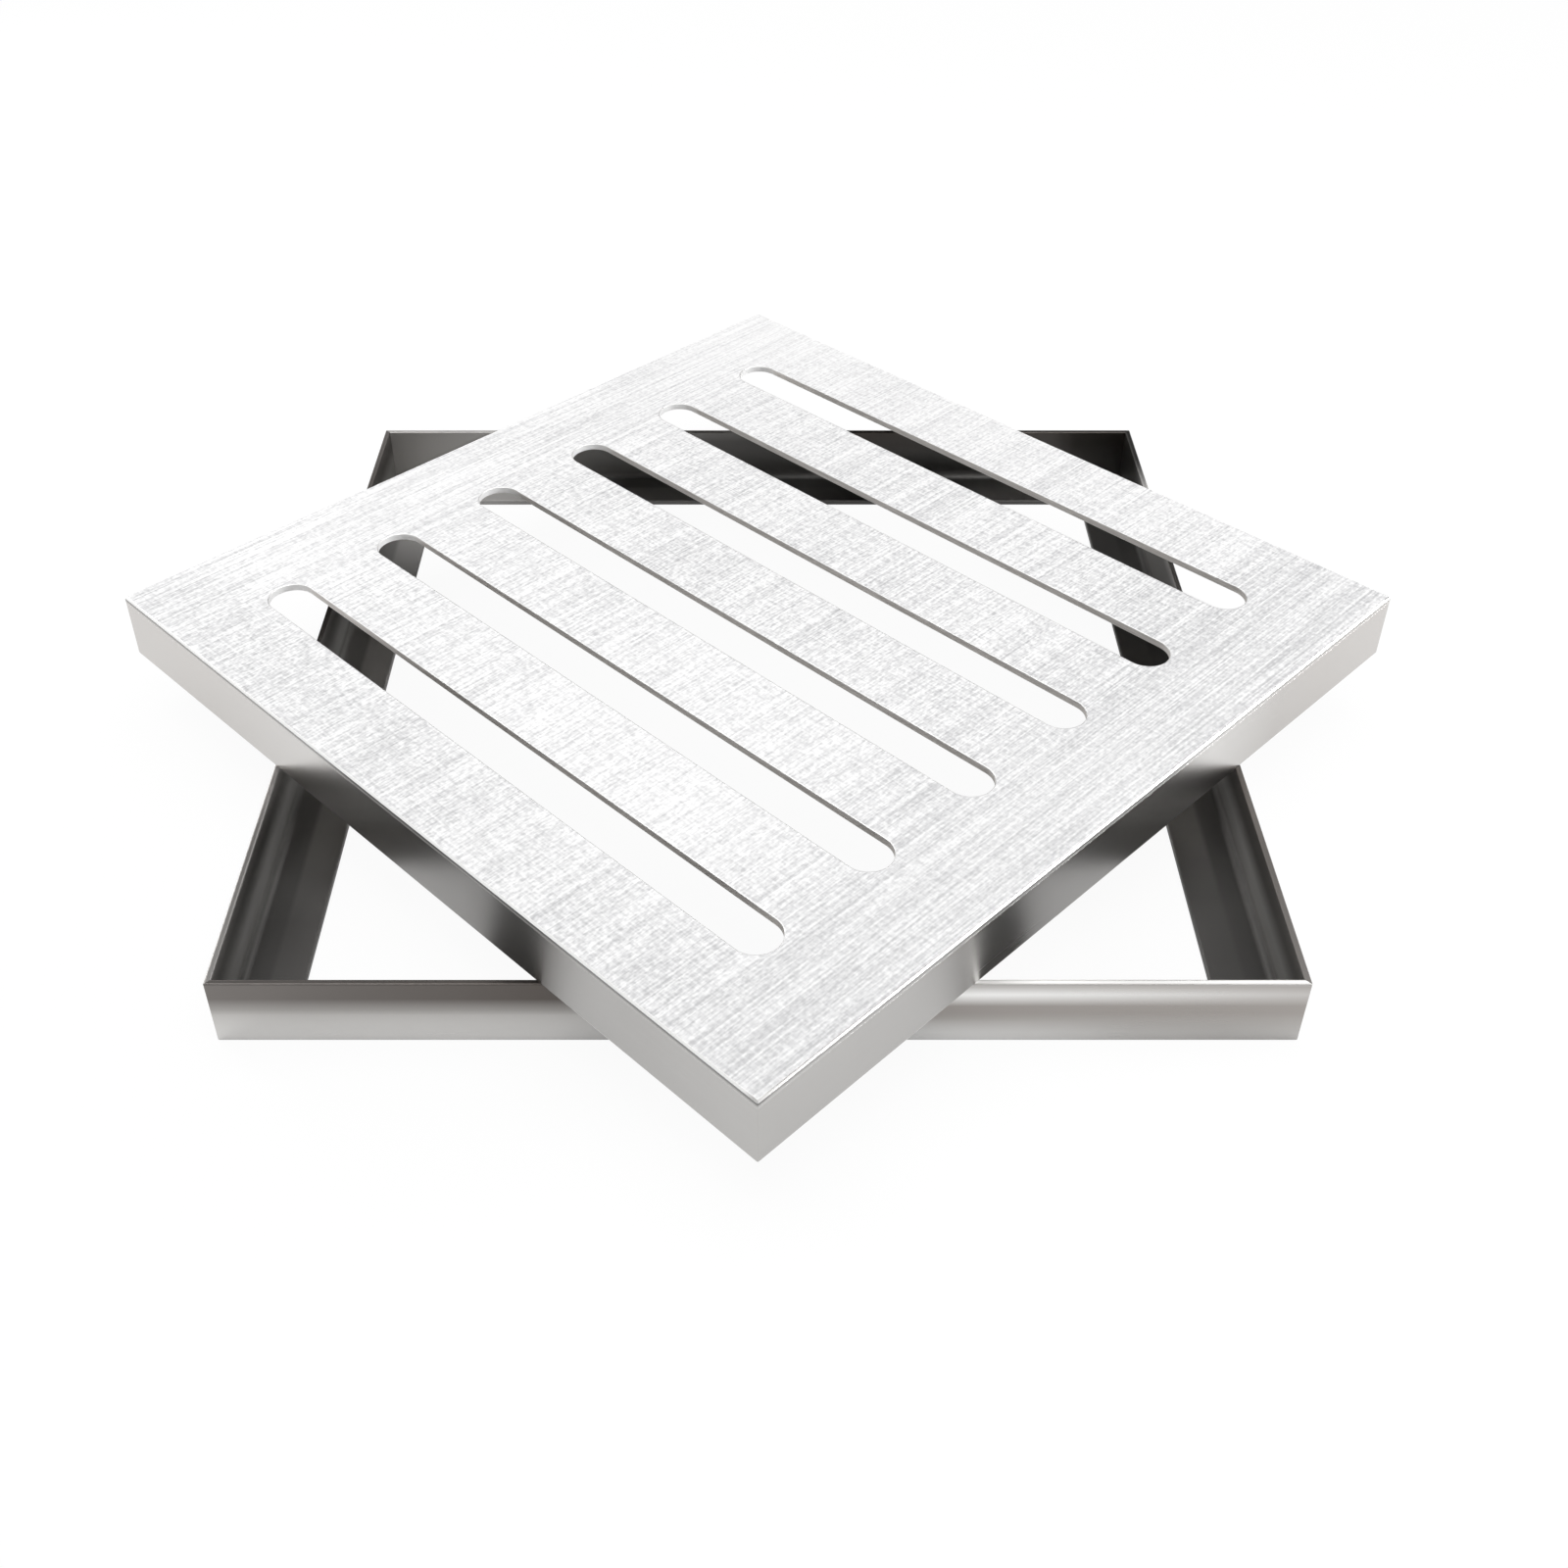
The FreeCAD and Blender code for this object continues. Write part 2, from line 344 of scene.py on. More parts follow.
class Finish:
    """Node tree of one material or of the world."""

    def __init__(self, owner):
        owner.use_nodes = True
        self.owner, self.tree = owner, owner.node_tree
        self.tree.nodes.clear()

    def node(self, kind, settings=None, inputs=None, output=0):
        """Adds a node, sets it up, feeds its sockets and returns one of its outputs."""
        made = self.tree.nodes.new(kind)
        for name, value in (settings or {}).items():
            setattr(made, name, value)
        for key, value in (inputs or {}).items():
            if isinstance(value, Wire):
                self.tree.links.new(value.socket, made.inputs[key])
            else:
                made.inputs[key].default_value = value
        return Wire(self, made.outputs[output]) if len(made.outputs) else made

    def mix(self, share, first, second):
        """Colour between two colours, each the output of a node or a red, green and blue."""
        settings = {"data_type": "RGBA", "clamp_factor": True}
        first, second = (
            colour if isinstance(colour, Wire) else opaque(colour) for colour in (first, second)
        )
        return self.node("ShaderNodeMix", settings, {0: share, 6: first, 7: second}, output=2)

    def noise(self, place, size, detail, roughness, shift):
        """Noise whose grains have about the given size along each axis."""
        scale = tuple(1 / length for length in size)
        moving = {"Vector": place, "Location": (shift, shift, shift), "Scale": scale}
        moved = self.node("ShaderNodeMapping", None, moving)
        values = {"Vector": moved, "Scale": 1.0, "Detail": detail, "Roughness": roughness}
        return self.node("ShaderNodeTexNoise", None, values, output="Fac")

    def place(self):
        """Coordinates of the piece's own frame, in metres."""
        return self.node("ShaderNodeTexCoord", output="Object")

    def grain(self):
        """Map that follows the piece: metres along it and metres round its section."""
        return self.node("ShaderNodeUVMap", {"uv_map": "grain"})

    def part(self, vector, axis):
        """One of a vector's three numbers."""
        return self.node("ShaderNodeSeparateXYZ", None, {0: vector}, output=axis)

    def attribute(self, name):
        """Mark that the mesh carries, between 0 and 1."""
        return self.node("ShaderNodeAttribute", {"attribute_name": name}, output="Fac")

    def bump(self, height, depth):
        """Normal of a surface raised by height, which is between 0 and 1, times depth."""
        values = {"Height": height, "Distance": depth, "Strength": 1.0}
        return self.node("ShaderNodeBump", None, values, output="Normal")

    def metal(self, colour, roughness, normal, bare=1.0):
        """Metal surface. Where it isn't quite bare, a thin matt film dulls it."""
        values = {"Base Color": colour, "Roughness": roughness, "Normal": normal, "Metallic": bare}
        self.surface(self.node("ShaderNodeBsdfPrincipled", None, values))

    def surface(self, shader):
        """Ends a material's tree with its shader."""
        self.node("ShaderNodeOutputMaterial", None, {"Surface": shader})

    def rays(self, *outputs):
        """Answers of Light Path on the ray that arrives, one for each output's name."""
        return [self.node("ShaderNodeLightPath", output=name) for name in outputs]


# Numbers of the finishes. A grain is a noise: its size along each axis in metres, its detail,
# its roughness and mostly a shift that sets it apart. A span is two places, in metres where
# nothing else is said: a change is nought at the first and full at the second. The other
# numbers are shares, and "dull" is a roughness.

WHITE = (1.0, 1.0, 1.0)
SHADES = (0.25, 0.75)  # part of a noise that takes a tone from one end to the other
STREAKS = (0.3, 0.7)  # the same for harder streaks
HAIRS = ((0.25, 0.0005, 1.0), 1.0, 0.5)
SMEARS = ((0.06, 0.06, 0.06), 2.0, 0.5)
SMEAR_SHIFT = 9.0


class PlateTones:
    """The plate. Of a pair of shares the bars have the first, and the margins add the second."""

    row_grain = ((0.0009, 0.080, 0.0009), 1.0, 0.5, 3.1)
    dash_grain = ((0.0011, 0.0022, 0.0011), 1.0, 0.5, 7.7)
    weft_grain = ((0.010, 0.0009, 0.0009), 0.0, 0.5, 2.6)
    patch_grain = ((0.030, 0.030, 0.030), 3.0, 0.6, 1.3)
    saw_grain = ((0.012, 0.012, 0.0010), 2.0, 0.5, 5.2)
    row_shares, dash_shares, weft_shares = (0.38, 0.10), (0.42, -0.05), (0.18, -0.05)
    patch_share, right_weave = 0.04, 0.04
    drag_weave = (0.42, 0.70)
    drag, drag_near_loss, drag_margin_loss, drag_shaded = 1.1, 0.42, 0.08, 0.085
    row_relief, dash_relief, weft_relief, relief_depth = 0.45, 0.42, 0.13, 0.00002

    far_corner, near_corner = (0.0, 0.39), (0.22, -0.22)
    right_margin, side_margins, back_margin = (0.09, 0.165), (0.130, 0.165), (0.13, 0.17)
    # spans of the painted shade along the right and front edges
    right_shade, front_shade = (0.08, -0.04), (-0.150, -0.172)
    # spans of the painted light band across the front bars
    band_front, band_back = (-0.165, -0.125), (0.0, -0.045)
    # span of the painted light on the slots' left ends
    left_slot_ends = (-0.140, -0.150)
    front_edge, right_edge, lip_height = (-0.190, -0.194), (0.190, 0.194), (0.0582, 0.0589)

    # shares of painted light, towards white
    paler, band_paler, back_paler, far_paler = 0.05, 0.14, 0.09, 0.42
    rolled, rolled_patches = 0.85, 0.3
    # lip: painted shade line under the chamfer; right_chamfer: painted shade on the right chamfer
    lip, lip_front, right_chamfer = 0.45, 0.3, 0.6
    face_dull, drag_dull, rolled_gloss, wall_dull, chamfer_dull = 0.80, 0.10, 0.40, 0.60, 0.30
    slot_end_film, front_chamfer_film, edge_film = 0.5, 0.8, 0.5


class StripTones:
    """The cover's strips, and the plate's outer edges above them."""

    shift = 2.0
    hair_shade, smear_shade = 0.4, 0.6
    # spans of the strips' painted light
    light_right, light_left, light_left_loss = (0.05, -0.03), (-0.05, -0.19), 0.75
    warm_ends, warm = (0.20, 0.06), 0.4
    right_face, middle_front, middle_back = (0.19, 0.196), (-0.06, 0.0), (0.11, 0.06)
    middle = 0.9
    dull, smear_dull, hair_dull = 0.22, 0.05, 0.03
    hair_relief, smear_relief, relief_depth = 0.7, 0.3, 0.0000008
    rubbed_and_highlight, rubbed_gloss = 0.4, 0.04


class AngleTones:
    """The frame's angles. A span called a band is in shares of the angle's height."""

    shift = 6.0
    hair_shade, smear_shade = 0.25, 0.75
    first_half = (0.04, -0.06)

    # spans and shares of the ledges' painted light and painted shade
    ledge_band, ledge, ledge_to_wall = (0.09, 0.14), 0.9, (0.244, 0.277)
    left_rail = (0.05, -0.05)
    left_crossing, right_crossing, crossing_front = (-0.12, -0.06), (0.05, 0.10), (0.20, 0.12)
    crossing = 0.8
    dim_front, dim = (0.13, 0.18), 0.85
    lit_left, lit_front, lit, lit_to_wall = (-0.11, -0.16), (-0.06, -0.085), 0.4, 0.6

    # spans and shares of the inner walls' painted shade and painted light
    back_rail, back = (0.20, 0.24), 0.7
    fold_band, fold_fading_band, fold = (0.10, 0.25), (0.45, 0.75), 0.7
    fold_right, fold_right_kept, fold_film = (0.20, 0.25), 0.7, 0.25
    back_corner, corner = (-0.09, -0.22), 0.5
    dark_front, dark_band, dark = (-0.02, -0.06), (0.15, 0.45), 0.5

    # foot: painted reflection band along the outer face's foot
    foot_band, foot_end, foot_end_loss = (0.10, 0.55), (0.02, 0.17), 0.8
    # brown, belly, sheen and glint: painted reflections and highlights
    brown_band, brown = (0.45, 0.74), 0.95
    brown_start, brown_at_start, brown_later = (-0.20, -0.08), 0.8, 0.2
    belly_band, belly = (0.15, 0.50), 0.8
    sheen_band, sheen_top_band, sheen_top_loss = (0.62, 0.81), (0.83, 0.97), 0.75
    sheen_end, sheen_end_loss, sheen = (0.08, 0.20), 0.7, 0.9
    glint_band, glint_end = (0.05, 0.40), (0.14, 0.0)
    # root: painted shade in the root between ledge and wall
    root_mark, root_core, root = (0.0, 0.2), (0.9, 1.0), 0.45
    # rim: painted highlight on the front rail's rim
    rim_band, rim_front, rim_right, rim = (0.97, 0.995), (0.25, 0.27), (0.05, 0.10), 0.8

    dull, smear_dull, worn_dull = 0.29, 0.05, 0.15
    outer_gloss, outer_hair_dull = 0.05, 0.04
    inside_dull, root_dull, rim_dull = 0.25, 0.3, 0.2
    hair_relief, smear_relief, relief_depth = 0.7, 0.3, 0.000001


class BeadTones:
    """The weld beads."""

    heat_grain = ((0.006, 0.006, 0.006), 2.0, 0.5, 4.0)
    speck_grain = ((0.0006, 0.0006, 0.0006), 2.0, 0.6, 8.0)
    dull, speck_dull, relief_depth = 0.32, 0.15, 0.00003


def brushed_face(finish, look, place):
    """Tone, drag, relief and wide patches of the plate's brushed face.

    Rows along Y, short dashes, a weft along X and wide patches are added up to a weave, and
    its darker part is the drag. The drag is weaker towards the near corner and on the side
    margins. A painted shade along the right and front edges is added to it. The far corner,
    the back margin and a band across the front bars are paler, a painted light.
    """
    at = PlateTones
    grains = (at.row_grain, at.dash_grain, at.weft_grain, at.patch_grain)
    row, dash, weft, patch = (finish.noise(place, *grain) for grain in grains)
    x, y = (finish.part(place, axis) for axis in "XY")
    right = x.ramp(*at.right_margin)
    margin = x.maths("ABSOLUTE", x).ramp(*at.side_margins)
    pairs = (at.row_shares, at.dash_shares, at.weft_shares)
    row_share, dash_share, weft_share = (bars + more * margin for bars, more in pairs)
    weave = row_share * row + dash_share * dash + weft_share * weft + at.patch_share * patch
    near = (y - x).ramp(*at.near_corner)
    strength = at.drag - at.drag_near_loss * near - at.drag_margin_loss * margin
    # painted shade: the plate darker along its right and front edges, added to the drag
    shaded = x.maths("MAXIMUM", right * y.ramp(*at.right_shade), y.ramp(*at.front_shade))
    drag = (weave + at.right_weave * right).ramp(*at.drag_weave) * strength
    drag = drag + at.drag_shaded * shaded
    tone = finish.mix(drag, look.plate_light, look.plate_drag_and_shade)
    # painted light: a pale band across the front bars, a paler far corner and back margin
    band = y.ramp(*at.band_front) * y.ramp(*at.band_back)
    painted_light = at.paler + at.band_paler * band + at.back_paler * y.ramp(*at.back_margin)
    painted_light = (1 - right) * painted_light + at.far_paler * (y - x).ramp(*at.far_corner)
    tone = finish.mix(painted_light, tone, WHITE)
    relief = at.row_relief * row + at.dash_relief * dash + at.weft_relief * weft
    return tone, drag, relief, patch


def plate_finish(look):
    """Brushed top, rolled underside, browner slot walls and bright chamfers.

    The slots' walls have saw streaks and are paler at their left ends, a painted light. The
    rolled underside is darkened by painted shade. The outer edges are ground flush with the
    strips below and look like them, with a painted shade line under the chamfer, which is
    darker on the right, a painted shade, and matter at the front.
    """
    at = PlateTones
    finish = Finish(bpy.data.materials.new("brushed_plate"))
    place = finish.place()
    cut, worn, mill, outer = (finish.attribute(name) for name in MARKS)
    x, y, z = (finish.part(place, axis) for axis in "XYZ")
    tone, drag, brushing, patch = brushed_face(finish, look, place)
    strip_tone, strip_dull, _ = strip_surface(finish, look)
    # rolled underside: its own finish, darkened further by painted shade so that the ledges mirror
    # it dark
    rolled = mill * (at.rolled + at.rolled_patches * patch)
    tone = finish.mix(rolled, tone, look.plate_rolled_and_shade)
    saw = finish.noise(place, *at.saw_grain).ramp(*STREAKS)
    wall = finish.mix(saw, look.edge_dark, look.edge_light)
    # painted light: the slots' left end walls whitened
    left_end = cut * x.ramp(*at.left_slot_ends)
    tone = finish.mix(cut, tone, finish.mix(left_end, wall, WHITE))
    tone = finish.mix(outer, tone, strip_tone)
    front = y.ramp(*at.front_edge)
    # painted shade: a dark line along the outer edges just under the chamfer, darker at the front
    lip = outer * z.ramp(*at.lip_height) * (at.lip + at.lip_front * front)
    tone = finish.mix(lip, tone, look.root)
    # painted shade: the right chamfer darkened towards the underside colour
    right = at.right_chamfer * x.ramp(*at.right_edge)
    chamfer = finish.mix(right, look.rubbed_and_highlight, look.plate_rolled_and_shade)
    tone = finish.mix(worn, tone, chamfer)
    dull = at.face_dull + at.drag_dull * drag - at.rolled_gloss * mill
    dull = dull + cut * (at.wall_dull - dull)
    dull = dull + outer * (strip_dull - dull)
    dull = dull + worn * (at.chamfer_dull - dull)
    relief = finish.bump(brushing * (1 - outer) * (1 - worn), at.relief_depth)
    bare = 1 - at.slot_end_film * left_end - at.front_chamfer_film * worn * front
    finish.metal(tone, dull.clipped(), relief, bare - at.edge_film * outer)
    return finish.owner


def drawn_grain(finish, shift):
    """Grain of drawn metal, each 0 to 1: fine hairs along its length, and wide soft smears."""
    hair = finish.noise(finish.grain(), *HAIRS, shift)
    smear = finish.noise(finish.place(), *SMEARS, shift + SMEAR_SHIFT)
    return hair, smear


def strip_surface(finish, look):
    """Tone, roughness and relief of the cover's smooth strips.

    Painted light makes them lighter left of the middle and half-way along the right side,
    and they are warmer towards the far ends.
    """
    at = StripTones
    hair, smear = drawn_grain(finish, at.shift)
    shade = (at.hair_shade * hair + at.smear_shade * smear).ramp(*SHADES)
    tone = finish.mix(shade, look.skirt_dark, look.skirt)
    x, y = (finish.part(finish.place(), axis) for axis in "XY")
    # painted light: the strips lighter left of the middle
    left = x.ramp(*at.light_right) * (1 - at.light_left_loss * x.ramp(*at.light_left))
    tone = finish.mix(left, tone, look.skirt_painted_light)
    tone = finish.mix((x - y).ramp(*at.warm_ends) * at.warm, tone, look.skirt_warm)
    # painted light: a lighter stretch half-way along the right side
    middle = x.ramp(*at.right_face) * y.ramp(*at.middle_front) * y.ramp(*at.middle_back)
    tone = finish.mix(middle * at.middle, tone, look.skirt_painted_light)
    dull = at.dull + at.smear_dull * smear + at.hair_dull * hair
    return tone, dull, at.hair_relief * hair + at.smear_relief * smear


def skirt_finish(look):
    """Smooth strip of the cover, with its worn edges polished bright."""
    at = StripTones
    finish = Finish(bpy.data.materials.new("skirt_strip"))
    tone, dull, relief = strip_surface(finish, look)
    worn = finish.attribute("worn")
    tone = finish.mix(worn * at.rubbed_and_highlight, tone, look.rubbed_and_highlight)
    dull = dull - at.rubbed_gloss * worn
    finish.metal(tone, dull.clipped(), finish.bump(relief, at.relief_depth))
    return finish.owner


def ledge_tones(finish, look, x, y):
    """Tone of the ledges, darker towards the wall.

    A point's distance across the frame is the larger of |x + y| and |y - x|. The ledges'
    own dark colour and the darkening towards the wall are painted shade. The ledges are
    lighter near the cover's crossings, a painted light, darker at the front of the right
    rail, a painted shade, and lit at the back of the left rail, a painted light.
    """
    at = AngleTones
    across = x.maths("MAXIMUM", x.maths("ABSOLUTE", x + y), x.maths("ABSOLUTE", y - x))
    to_wall = across.ramp(*at.ledge_to_wall)
    # painted shade: the ledges' dark colour, darker still towards the wall
    tone = finish.mix(to_wall, look.ledge, look.root)
    left = (x + y).ramp(*at.left_rail)
    forward = x - y
    # painted light: lighter near the cover's crossings
    under = left * forward.ramp(*at.left_crossing)
    under = under + (1 - left) * forward.ramp(*at.right_crossing)
    under = under * forward.ramp(*at.crossing_front)
    tone = finish.mix(under * at.crossing, tone, look.rail_smear_and_ledge_light)
    # painted shade: darker at the front of the right rail
    dim = (1 - left) * forward.ramp(*at.dim_front) * at.dim
    tone = finish.mix(dim, tone, look.root)
    # painted light: lit at the back of the left rail
    lit = left * x.ramp(*at.lit_left) * y.ramp(*at.lit_front)
    return finish.mix(lit * (at.lit + at.lit_to_wall * to_wall), tone, look.rail_painted_light)


def inner_walls(finish, look, tone, inner, share, x, y):
    """Tone of the walls' inner faces, and the marks of their fold and of the back corner.

    The fold above the ledge is paler, a painted light, and fades towards the rim, least on
    the right. The back corner is paler too, a painted light, but the left rail's end of it is
    darker, and the rest of the back rail is dark: both painted shade.
    """
    at = AngleTones
    near = 1 - (y - x).ramp(*at.back_rail)
    fading = 1 - at.fold_right_kept * (x + y).ramp(*at.fold_right)
    fading = share.ramp(*at.fold_fading_band) * fading
    fold = inner * near * share.ramp(*at.fold_band) * (1 - fading)
    corner = inner * x.ramp(*at.back_corner)
    dark = corner * y.ramp(*at.dark_front)
    # painted light on the fold and the back corner
    painted_light = (fold * at.fold + (corner - dark) * at.corner).clipped()
    tone = finish.mix(painted_light, tone, look.rail_painted_light)
    # painted shade at the left rail's end of the back corner
    tone = finish.mix(dark * at.dark * share.ramp(*at.dark_band), tone, look.ledge)
    # painted shade on the back rail's inner faces
    back = inner * (1 - near) * (1 - corner)
    return finish.mix(back * at.back, tone, look.root), fold, corner


def outer_bands(finish, look, tone, outer, share, along, first_half):
    """Tone of the angles' bands above the foot.

    Below the rim, the first half of the length has a brown painted reflection. The second
    half has a darker belly, a painted reflection, with a painted highlight above it and a
    bright foot, a painted glint.
    """
    at = AngleTones
    # painted reflection: brown band below the rim
    brown = first_half * share.ramp(*at.brown_band)
    brown = brown * (at.brown_at_start + at.brown_later * along.ramp(*at.brown_start))
    tone = finish.mix(brown * at.brown, tone, look.rail_brown_reflection)
    second_half = outer * (1 - first_half)
    # painted reflection: a darker belly
    belly = second_half * share.ramp(*at.belly_band)
    tone = finish.mix(belly * at.belly, tone, look.rail_belly_reflection)
    # painted highlight: the bright sheen above the belly
    sheen = share.ramp(*at.sheen_band) * (1 - at.sheen_top_loss * share.ramp(*at.sheen_top_band))
    sheen = second_half * sheen * (1 - at.sheen_end_loss * along.ramp(*at.sheen_end))
    tone = finish.mix(sheen * at.sheen, tone, look.rubbed_and_highlight)
    # painted glint: a bright foot on the second half
    glint = second_half * (1 - share.ramp(*at.glint_band)) * along.ramp(*at.glint_end)
    return finish.mix(glint, tone, look.rubbed_and_highlight)


def angle_finish(look, height):
    """Rolled angle: outer face in soft bands from foot to rim, darker ledges and roots.

    The bands go by the share of the angle's height, and lie differently on the first and
    the second half of a rail's length. They are painted reflections, and the darker ledges
    and roots are painted shade. The front rail's rim has a painted highlight on the right.
    """
    at = AngleTones
    finish = Finish(bpy.data.materials.new("frame_angle"))
    hair, smear = drawn_grain(finish, at.shift)
    worn, mill, outer = (finish.attribute(name) for name in ("worn", "mill", "outer"))
    x, y, z = (finish.part(finish.place(), axis) for axis in "XYZ")
    share = z * (1 / height)
    along = finish.part(finish.grain(), "X")
    first_half = along.ramp(*at.first_half)
    shade = (at.hair_shade * hair + at.smear_shade * smear).ramp(*SHADES)
    tone = finish.mix(shade, look.rail_smear_and_ledge_light, look.rail)
    # painted reflection: a lighter band along the foot of the outer face
    foot = outer * (1 - share.ramp(*at.foot_band))
    foot = foot * (1 - at.foot_end_loss * along.ramp(*at.foot_end))
    tone = finish.mix(foot, tone, look.rail_painted_light)
    inner = 1 - outer
    ledge = inner * (1 - share.ramp(*at.ledge_band))
    tone = finish.mix(ledge * at.ledge, tone, ledge_tones(finish, look, x, y))
    tone, fold, corner = inner_walls(finish, look, tone, inner, share, x, y)
    tone = outer_bands(finish, look, tone, outer, share, along, first_half)
    # painted shade in the root between ledge and wall
    tone = finish.mix(mill.ramp(*at.root_mark) * at.root, tone, look.root)
    # painted highlight: the front rail's rim, bright on the right
    rim = (1 - first_half) * (1 - worn) * share.ramp(*at.rim_band)
    rim = rim * (x - y).ramp(*at.rim_front) * x.ramp(*at.rim_right)
    tone = finish.mix(rim * at.rim, tone, look.rubbed_and_highlight)
    dull = at.dull + at.smear_dull * smear + at.worn_dull * worn
    dull = dull - outer * (at.outer_gloss - at.outer_hair_dull * hair)
    dull = dull + at.inside_dull * (fold + corner)
    dull = dull + at.root_dull * mill.ramp(*at.root_core) + at.rim_dull * rim
    drawn = (at.hair_relief * hair + at.smear_relief * smear) * outer
    relief = finish.bump(drawn, at.relief_depth)
    finish.metal(tone, dull.clipped(), relief, 1 - at.fold_film * fold)
    return finish.owner


def bead_finish(look):
    """Weld metal: straw and grey heat colours over fine ripples."""
    at = BeadTones
    finish = Finish(bpy.data.materials.new("weld_bead"))
    heat = finish.noise(finish.place(), *at.heat_grain).ramp(*STREAKS)
    speck = finish.noise(finish.place(), *at.speck_grain)
    tone = finish.mix(heat, look.bead_grey, look.bead_straw)
    dull = at.dull + at.speck_dull * speck
    finish.metal(tone, dull, finish.bump(speck, at.relief_depth))
    return finish.owner


# Settings that a user would change

class GrateShape(bpy.types.PropertyGroup):
    """Small sizes that the solids leave out."""

    frame_turn: FloatProperty(
        name="Frame turn",
        description="Turn of the frame against the cover",
        default=math.radians(45),
        subtype="ANGLE",
    )
    plate_round: FloatProperty(
        name="Plate edge round",
        description="Radius of the plate's lower edges and of the strips' upper edges",
        default=0.00003,
        subtype="DISTANCE",
        unit="LENGTH",
    )
    break_round: FloatProperty(
        name="Chamfer round",
        description="Radius at either side of the plate's chamfer",
        default=0.00015,
        subtype="DISTANCE",
        unit="LENGTH",
    )
    bar_round: FloatProperty(
        name="Strip edge round",
        description="Radius along the edges of the strips and angles",
        default=0.0004,
        subtype="DISTANCE",
        unit="LENGTH",
    )
    corner_round: FloatProperty(
        name="Corner round",
        description="Radius of the outer upright corners, ground after welding",
        default=0.0006,
        subtype="DISTANCE",
        unit="LENGTH",
    )
    shoulder: FloatProperty(
        name="Shoulder",
        description="Narrow flat beside each round that keeps the wide flats true",
        default=0.0003,
        subtype="DISTANCE",
        unit="LENGTH",
    )
    round_steps: IntProperty(
        name="Round steps", description="Points across an edge round", default=5, min=3
    )
    slot_steps: IntProperty(
        name="Slot steps", description="Points round one end of a slot", default=32, min=8
    )
    bead_count: IntProperty(
        name="Beads", description="Weld beads along one side of the cover", default=3, min=1
    )
    bead_margin: FloatProperty(
        name="Bead margin",
        description="From the cover's outer face to the middle of the last bead",
        default=0.045,
        subtype="DISTANCE",
        unit="LENGTH",
    )
    bead_length: FloatProperty(
        name="Bead length",
        description="Length of one weld bead",
        default=0.025,
        subtype="DISTANCE",
        unit="LENGTH",
    )
    bead_leg: FloatProperty(
        name="Bead leg",
        description="Size of a bead across either face",
        default=0.003,
        subtype="DISTANCE",
        unit="LENGTH",
    )
    bead_pitch: FloatProperty(
        name="Bead ripple pitch",
        description="From one ripple of a bead to the next",
        default=0.0018,
        subtype="DISTANCE",
        unit="LENGTH",
    )
    bead_ripple: FloatProperty(
        name="Bead ripple",
        description="Height of a ripple as a share of the bead's radius",
        default=0.07,
        subtype="FACTOR",
    )
    bead_steps: IntProperty(
        name="Bead steps", description="Points along one bead", default=113, min=9
    )


